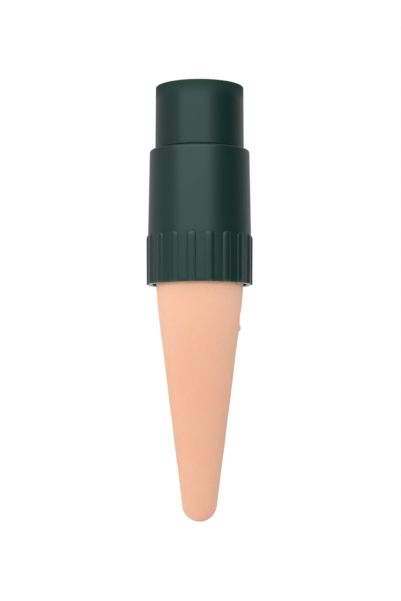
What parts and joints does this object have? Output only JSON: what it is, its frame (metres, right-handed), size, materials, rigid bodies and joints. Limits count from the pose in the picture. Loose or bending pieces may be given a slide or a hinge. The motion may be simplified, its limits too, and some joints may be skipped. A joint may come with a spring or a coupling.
{
  "type": "self watering spike",
  "caption": "Hollow clay cone under a screwed green plastic head; an upturned drinks bottle screws into the neck and waters the soil through the clay.",
  "frame": {"origin": "lowest point of the clay cone's rounded tip, on the axis", "axes": "+Z along the axis, from the tip to the bottle's mouth; +X towards the small clay nib on the cone's parting line"},
  "size_m": [0.0392, 0.039, 0.16],
  "materials": {
    "terracotta": "unglazed, fired, fine matt surface",
    "green_plastic": "moulded, satin, very dark bluish green",
    "rubber": "plain black sealing rubber",
    "cement": "cured adhesive, dull"
  },
  "bodies": {
    "cone": {"clay_cone": "terracotta", "collar_cement": "cement", "cone_collar": "green_plastic"},
    "sleeve": {"bottle_sleeve": "green_plastic", "bottle_washer": "rubber", "cone_gasket": "rubber"},
    "shell": {"grip_shell": "green_plastic"}
  },
  "joints": [
    {"name": "sleeve_lift", "type": "slide", "parent": "cone", "child": "sleeve", "axis": [0, 0, 1], "range_m": [0, 0.006]},
    {"name": "shell_turn", "type": "hinge", "parent": "sleeve", "child": "shell", "pos_m": [0, 0, 0.1], "axis": [0, 0, 1], "range_deg": [0, 360]}
  ],
  "couplings": [
    {"joint": "sleeve_lift", "follows": "shell_turn", "m_per_rad": 0.00095493}
  ]
}
